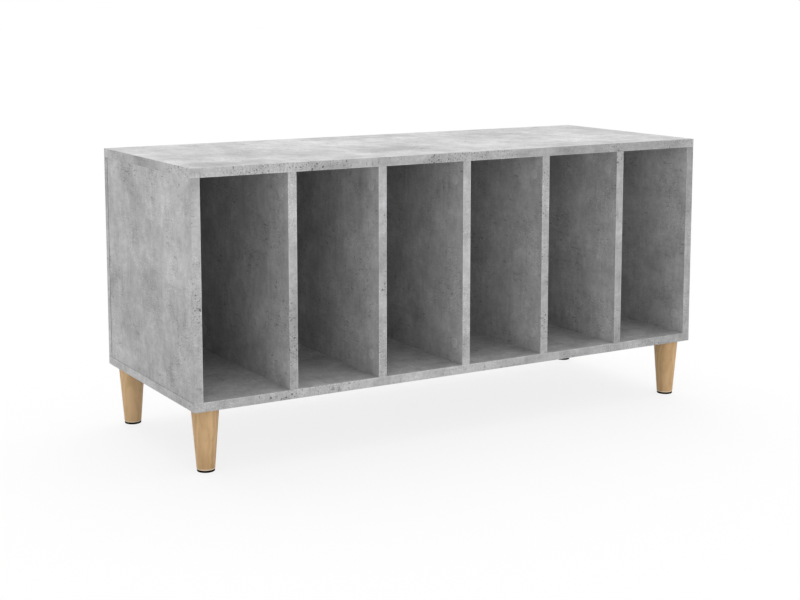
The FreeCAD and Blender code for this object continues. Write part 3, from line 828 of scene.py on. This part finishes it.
def wood_material(name, settings, axis, foot, cut, tone):
    """Turned wood cut across flat growth rings, so that its figure rises in soft uneven arches."""
    material, tree, shader = new_material(name)
    place = object_coordinates(tree, (-axis.x, -axis.y, cut))
    warp = grain_of(tree, place, WARP_SIZE, WARP_PACE, WARP_NOISE)
    depth = sum_of(tree, distance_along(tree, place, RING_NORMAL), swing_of(tree, warp, WARP_REACH))
    turns = product_of(tree, depth, 2.0 * math.pi / settings.ring_pitch)
    rings = add_node(tree, "ShaderNodeMath", {0: turns}, operation="SINE").outputs[0]
    fibres = grain_of(tree, place, settings.fibre_width, FIBRE_PACE, FIBRE_NOISE)
    stains = grain_of(tree, place, STAIN_SIZE, STAIN_PACE, STAIN_NOISE)
    flecks = grain_of(tree, place, FLECK_SIZE, FLECK_PACE, FLECK_NOISE)
    # The leg's tone moves its wood towards early wood; on the rear left leg this is painted light
    late_wood = sum_of(
        tree, product_of(tree, rings, RING_DEPTH), LATE_WOOD_SHARE - tone,
        swing_of(tree, fibres, FIBRE_DEPTH), swing_of(tree, stains, STAIN_DEPTH),
        eased(tree, flecks, *FLECK_RANGE, 0.0, FLECK_DEPTH))
    color = two_tone(tree, late_wood, settings.early_wood, settings.late_wood)
    color = with_foot_rim(tree, color, settings, foot)
    join(tree, shader, {"Base Color": color, **face_of(tree, fibres, LEG_FACE)})
    return material


def with_foot_rim(tree, color, settings, foot):
    """The wood's colour, with a paler colour in the rim just above the foot."""
    height = coordinate_of(tree, object_coordinates(tree), "Z")
    rim_top = foot + settings.foot_rim
    bare = eased(tree, height, rim_top - RIM_EDGE, rim_top + RIM_EDGE, 1.0, 0.0)
    inputs = {MIX_FACTOR: bare, MIX_FIRST_COLOR: color, MIX_SECOND_COLOR: (*settings.foot_rim_color, 1.0)}
    return add_node(tree, "ShaderNodeMix", inputs, data_type="RGBA").outputs[MIX_RESULT_COLOR]


def plastic_material(name):
    """Black moulded plastic with a fine moulded grain."""
    material, tree, shader = new_material(name)
    place = object_coordinates(tree)
    grain = noise_of(tree, place, PLASTIC_GRAIN_SIZE, PLASTIC_GRAIN_NOISE, "3D")
    cloud = noise_of(tree, place, PLASTIC_CLOUD_SIZE, PLASTIC_CLOUD_NOISE, "3D")
    tone = gray_of(tree, eased(tree, cloud, *PLASTIC_CLOUD_RANGE, *PLASTIC_TONES))
    join(tree, shader, {
        "Base Color": stretched(tree, tone, PLASTIC_TINT),
        "Specular Tint": (*PLASTIC_TINT, 1.0),
        **face_of(tree, grain, PLASTIC_FACE)})
    return material


def zinc_material(name, tone):
    """Bright zinc, a little cloudy."""
    material, tree, shader = new_material(name)
    cloud = noise_of(tree, object_coordinates(tree), ZINC_CLOUD_SIZE, ZINC_CLOUD_NOISE, "3D")
    join(tree, shader, {
        "Base Color": gray_of(tree, sum_of(tree, swing_of(tree, cloud, ZINC_TONE_SWING), tone)),
        "Roughness": sum_of(tree, swing_of(tree, cloud, ZINC_ROUGHNESS_SWING), ZINC_ROUGHNESS),
        "Metallic": 1.0})
    return material


def dowel_material(name):
    """Pale beech, with its grain along the dowel."""
    material, tree, shader = new_material(name)
    fibres = grain_of(tree, object_coordinates(tree), DOWEL_FIBRE_WIDTH, DOWEL_FIBRE_PACE, FIBRE_NOISE)
    color = two_tone(tree, fibres, PALE_BEECH, DARK_BEECH)
    join(tree, shader, {"Base Color": color, **face_of(tree, fibres, DOWEL_FACE)})
    return material


# Modelling helpers


# From which angle on an edge looks sharp, and how close two measures are that count as the same
SHARP_ANGLE = math.radians(35)
SAME_WITHIN = 0.00001


def start_piece(add, **options):
    """Adds a primitive, selected on its own, and opens it for editing."""
    bpy.ops.object.select_all(action="DESELECT")
    add(**options)
    piece = bpy.context.active_object
    bpy.ops.object.mode_set(mode="EDIT")
    return piece


def pick(piece, chosen):
    """Selects just the edges of the open mesh for which chosen is true."""
    bpy.ops.mesh.select_mode(type="EDGE")
    bpy.ops.mesh.select_all(action="DESELECT")
    mesh = bmesh.from_edit_mesh(piece.data)
    for edge in mesh.edges:
        edge.select_set(all(chosen(piece.matrix_world @ v.co) for v in edge.verts))
    mesh.select_flush_mode()
    bmesh.update_edit_mesh(piece.data)


def close_piece(piece):
    """Ends editing, puts the piece's place in its mesh and shades it."""
    bpy.ops.mesh.select_all(action="SELECT")
    bpy.ops.mesh.normals_make_consistent(inside=False)
    bpy.ops.object.mode_set(mode="OBJECT")
    bpy.ops.object.transform_apply(location=True, rotation=True, scale=True)
    bpy.ops.object.shade_smooth_by_angle(angle=SHARP_ANGLE)


def copy_of(piece, offset):
    """A copy with a mesh of its own, moved in its mesh by an offset."""
    bpy.ops.object.select_all(action="DESELECT")
    piece.select_set(True)
    bpy.context.view_layer.objects.active = piece
    bpy.ops.object.duplicate(linked=False)
    bpy.ops.transform.translate(value=offset)
    bpy.ops.object.transform_apply(location=True, rotation=True, scale=True)
    return bpy.context.active_object


def fit_piece(piece, name, material, replaced):
    """Names and dresses a piece, and lets it ride on the cabinet in place of a CAD node."""
    piece.name = name
    piece.data.name = name
    piece.data.materials.clear()
    piece.data.materials.append(material)
    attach(piece, "root")
    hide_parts(replaced)


def near(value, target):
    """Whether two measures are the same, to a hundredth of a millimetre."""
    return abs(value - target) < SAME_WITHIN


# Operators


class CABINET_OT_finish_boards(bpy.types.Operator):
    """Give each board its own cut of the concrete print"""

    bl_idname = "cabinet.finish_boards"
    bl_label = "Finish the boards"

    def execute(self, context):
        concrete_print(context.scene.cabinet.board_print)
        for node, (grain, cut, tone) in BOARD_CUTS_AND_PAINTED_SHADE.items():
            dress(node, print_material(node, grain, cut, tone, BOARD_PITS))
        return {"FINISHED"}


class CABINET_OT_finish_edge_bands(bpy.types.Operator):
    """Give each edge band its own cut of the concrete print"""

    bl_idname = "cabinet.finish_edge_bands"
    bl_label = "Finish the edge bands"

    def execute(self, context):
        for node, (grain, cut, tone, *edges) in BAND_CUTS.items():
            dress(node, print_material(node, grain, cut, tone, BAND_PITS, edges))
        return {"FINISHED"}


# The steps in which a leg's upper and lower rims are rounded
CROWN_STEPS = 3
FOOT_STEPS = 4


class CABINET_OT_turn_legs(bpy.types.Operator):
    """Turn one tapered leg, copy it to the four corners and give each its own piece of wood"""

    bl_idname = "cabinet.turn_legs"
    bl_label = "Turn the legs"

    def execute(self, context):
        settings = context.scene.cabinet.wood
        legs = [self.turn_leg(CORNERS[0], settings)]
        start = self.axis_of(CORNERS[0])
        legs += [copy_of(legs[0], self.axis_of(corner) - start) for corner in CORNERS[1:]]
        for corner, leg in zip(CORNERS, legs):
            node = f"{corner}_leg"
            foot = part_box(node)[0].z
            wood = wood_material(f"{node}_wood", settings, self.axis_of(corner), foot, *LEG_CUTS_AND_PAINTED_LIGHT[corner])
            fit_piece(leg, f"turned_{node}", wood, node)
        return {"FINISHED"}

    def axis_of(self, corner):
        """The middle of a leg."""
        low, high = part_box(f"{corner}_leg")
        return (low + high) / 2

    def turn_leg(self, corner, settings):
        """A tapered leg with rounded rims, bored at both ends, in the space of its CAD node."""
        low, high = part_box(f"{corner}_leg")
        glide_low, glide_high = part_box(f"{corner}_glide")
        stud_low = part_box("hanger_bolts")[0]
        axis = self.axis_of(corner)
        crown_radius = (high.x - low.x) / 2
        foot_radius = (glide_high.x - glide_low.x) / 2 + settings.foot_overhang
        leg = start_piece(
            bpy.ops.mesh.primitive_cylinder_add, vertices=settings.sides, radius=foot_radius,
            depth=high.z - low.z, location=axis)
        pick(leg, lambda p: near(p.z, high.z))
        share = crown_radius / foot_radius
        bpy.ops.transform.resize(value=(share, share, 1.0))
        self.bore(crown_radius, settings.stud_bore / 2, stud_low.z - settings.bore_clearance - high.z)
        pick(leg, lambda p: near(p.z, low.z))
        self.bore(foot_radius, settings.stem_bore / 2, glide_high.z + settings.bore_clearance - low.z)
        pick(leg, lambda p: near(p.z, high.z) and near((p - axis).xy.length, crown_radius))
        bpy.ops.mesh.bevel(offset=settings.crown_rounding, segments=CROWN_STEPS, affect="EDGES")
        pick(leg, lambda p: near(p.z, low.z) and near((p - axis).xy.length, foot_radius))
        bpy.ops.mesh.bevel(offset=settings.foot_rounding, segments=FOOT_STEPS, affect="EDGES")
        close_piece(leg)
        return leg

    def bore(self, end_radius, radius, rise):
        """Sinks a round hole into the selected end of a leg."""
        bpy.ops.mesh.inset(thickness=end_radius - radius)
        bpy.ops.mesh.extrude_region()
        bpy.ops.transform.translate(value=(0.0, 0.0, rise))


class CABINET_OT_finish_glides(bpy.types.Operator):
    """Give the glides under the legs their black plastic"""

    bl_idname = "cabinet.finish_glides"
    bl_label = "Finish the glides"

    def execute(self, context):
        plastic = plastic_material("glide_plastic")
        for corner in CORNERS:
            dress(f"{corner}_glide", plastic)
        return {"FINISHED"}


class CABINET_OT_finish_cam_caps(bpy.types.Operator):
    """Give the caps over the cams a lighter cut of the print"""

    bl_idname = "cabinet.finish_cam_caps"
    bl_label = "Finish the cam caps"

    def execute(self, context):
        for node, (cut, tone) in CAP_CUTS.items():
            dress(node, print_material(node, GRAIN_UPWARDS_SIDE, cut, tone, NO_PITS))
        return {"FINISHED"}


class CABINET_OT_finish_fasteners(bpy.types.Operator):
    """Give the metal fasteners their zinc and the dowels their wood"""

    bl_idname = "cabinet.finish_fasteners"
    bl_label = "Finish the fasteners"

    def execute(self, context):
        zinc = zinc_material("zinc_plating", PLATED_TONE)
        cast = zinc_material("cast_zinc", CAST_TONE)
        beech = dowel_material("dowel_beech")
        for material, nodes in ((zinc, PLATED_FASTENERS), (cast, CAST_FASTENERS), (beech, DOWELS)):
            for node in nodes:
                dress(node, material)
        return {"FINISHED"}


# Straight up, and how narrow the lights of the studio are
UPWARDS = (0.0, 0.0, 1.0)
RISE_FOCUS = 1.0
HORIZON_FOCUS = 4.0
OVERHEAD_FOCUS = 6.0
FRONT_FOCUS = 1.0


class CABINET_OT_set_stage(bpy.types.Operator):
    """Lay the pale floor, light it evenly and set up the camera"""

    bl_idname = "cabinet.set_stage"
    bl_label = "Set the stage"

    def execute(self, context):
        settings = context.scene.cabinet.stage
        self.lay_floor(settings)
        self.light(context.scene, settings)
        self.place_camera(context.scene, settings)
        context.scene.view_settings.view_transform = "Standard"
        return {"FINISHED"}

    def lay_floor(self, settings):
        """A wide pale floor that the camera sees as white, with the cabinet's shadow on it."""
        bpy.ops.object.select_all(action="DESELECT")
        bpy.ops.mesh.primitive_plane_add(size=settings.floor_size)
        floor = bpy.context.active_object
        floor.name = "studio_floor"
        material = bpy.data.materials.new("pale_floor")
        tree = empty_tree(material)
        lit = add_node(tree, "ShaderNodeBsdfDiffuse", {"Color": (*settings.floor_color, 1.0)})
        seen = add_node(tree, "ShaderNodeBsdfDiffuse", {"Color": (*settings.floor_seen_color, 1.0)})
        glow = add_node(tree, "ShaderNodeEmission", {"Color": WHITE, "Strength": 1.0})
        white = blend_of(tree, settings.floor_glow, seen, glow)
        both = blend_of(tree, seen_directly(tree), lit, white)
        add_node(tree, "ShaderNodeOutputMaterial", {"Surface": both.outputs[0]})
        floor.data.materials.append(material)

    def light(self, scene, settings):
        """A plain studio sky, stronger overhead and at eye level than between them."""
        world = bpy.data.worlds.new("studio_sky")
        tree = empty_tree(world)
        direction = add_node(tree, "ShaderNodeTexCoord").outputs["Generated"]
        rise = self.toward(tree, direction, UPWARDS, RISE_FOCUS)
        horizon = math_of(tree, "POWER", math_of(tree, "SUBTRACT", 1.0, rise), HORIZON_FOCUS)
        overhead = self.toward(tree, direction, settings.overhead_from, OVERHEAD_FOCUS)
        front = self.toward(tree, direction, settings.front_from, FRONT_FOCUS)
        strength = sum_of(
            tree, product_of(tree, horizon, settings.horizon_light), settings.even_light,
            product_of(tree, overhead, settings.overhead_light),
            product_of(tree, front, settings.front_light))
        lit = add_node(tree, "ShaderNodeBackground", {"Color": WHITE, "Strength": strength})
        seen = add_node(tree, "ShaderNodeBackground", {"Color": WHITE, "Strength": 1.0})
        both = blend_of(tree, seen_directly(tree), lit, seen)
        add_node(tree, "ShaderNodeOutputWorld", {"Surface": both.outputs[0]})
        scene.world = world

    def toward(self, tree, direction, aim, focus):
        """1 straight towards the aim, falling to 0 at right angles to it, faster with more focus."""
        part = distance_along(tree, direction, Vector(aim).normalized())
        return math_of(tree, "POWER", math_of(tree, "MAXIMUM", part, 0.0), focus)

    def place_camera(self, scene, settings):
        """The camera at the photograph's viewing angle."""
        data = bpy.data.cameras.new("studio_camera")
        data.lens = settings.camera_lens
        data.shift_y = settings.camera_shift
        camera = bpy.data.objects.new("studio_camera", data)
        camera.location = settings.camera_place
        camera.rotation_euler = (QUARTER - settings.camera_pitch, 0.0, -settings.camera_yaw)
        scene.collection.objects.link(camera)
        scene.camera = camera


# Panel


class CABINET_PT_sidebar(bpy.types.Panel):
    """The cabinet's steps and settings"""

    bl_idname = "CABINET_PT_sidebar"
    bl_label = "Record cabinet"
    bl_space_type = "VIEW_3D"
    bl_region_type = "UI"
    bl_category = "Cabinet"

    def draw(self, context):
        for operator in OPERATORS:
            self.layout.operator(operator.bl_idname)
        settings = context.scene.cabinet
        for group in (settings.board_print, settings.wood, settings.stage):
            box = self.layout.box()
            for name in group.__annotations__:
                box.prop(group, name)


OPERATORS = (
    CABINET_OT_finish_boards,
    CABINET_OT_finish_edge_bands,
    CABINET_OT_turn_legs,
    CABINET_OT_finish_glides,
    CABINET_OT_finish_cam_caps,
    CABINET_OT_finish_fasteners,
    CABINET_OT_set_stage,
)
CLASSES = (PrintSettings, WoodSettings, StageSettings, CabinetSettings, *OPERATORS, CABINET_PT_sidebar)


def register():
    """Makes the classes and the scene's settings known."""
    for entry in CLASSES:
        bpy.utils.register_class(entry)
    bpy.types.Scene.cabinet = PointerProperty(type=CabinetSettings)


def unregister():
    """Takes the settings and the classes away again."""
    del bpy.types.Scene.cabinet
    for entry in reversed(CLASSES):
        bpy.utils.unregister_class(entry)


def main():
    """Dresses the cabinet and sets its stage."""
    register()
    bpy.ops.cabinet.finish_boards()
    bpy.ops.cabinet.finish_edge_bands()
    bpy.ops.cabinet.turn_legs()
    bpy.ops.cabinet.finish_glides()
    bpy.ops.cabinet.finish_cam_caps()
    bpy.ops.cabinet.finish_fasteners()
    bpy.ops.cabinet.set_stage()


if __name__ == "__main__":
    main()
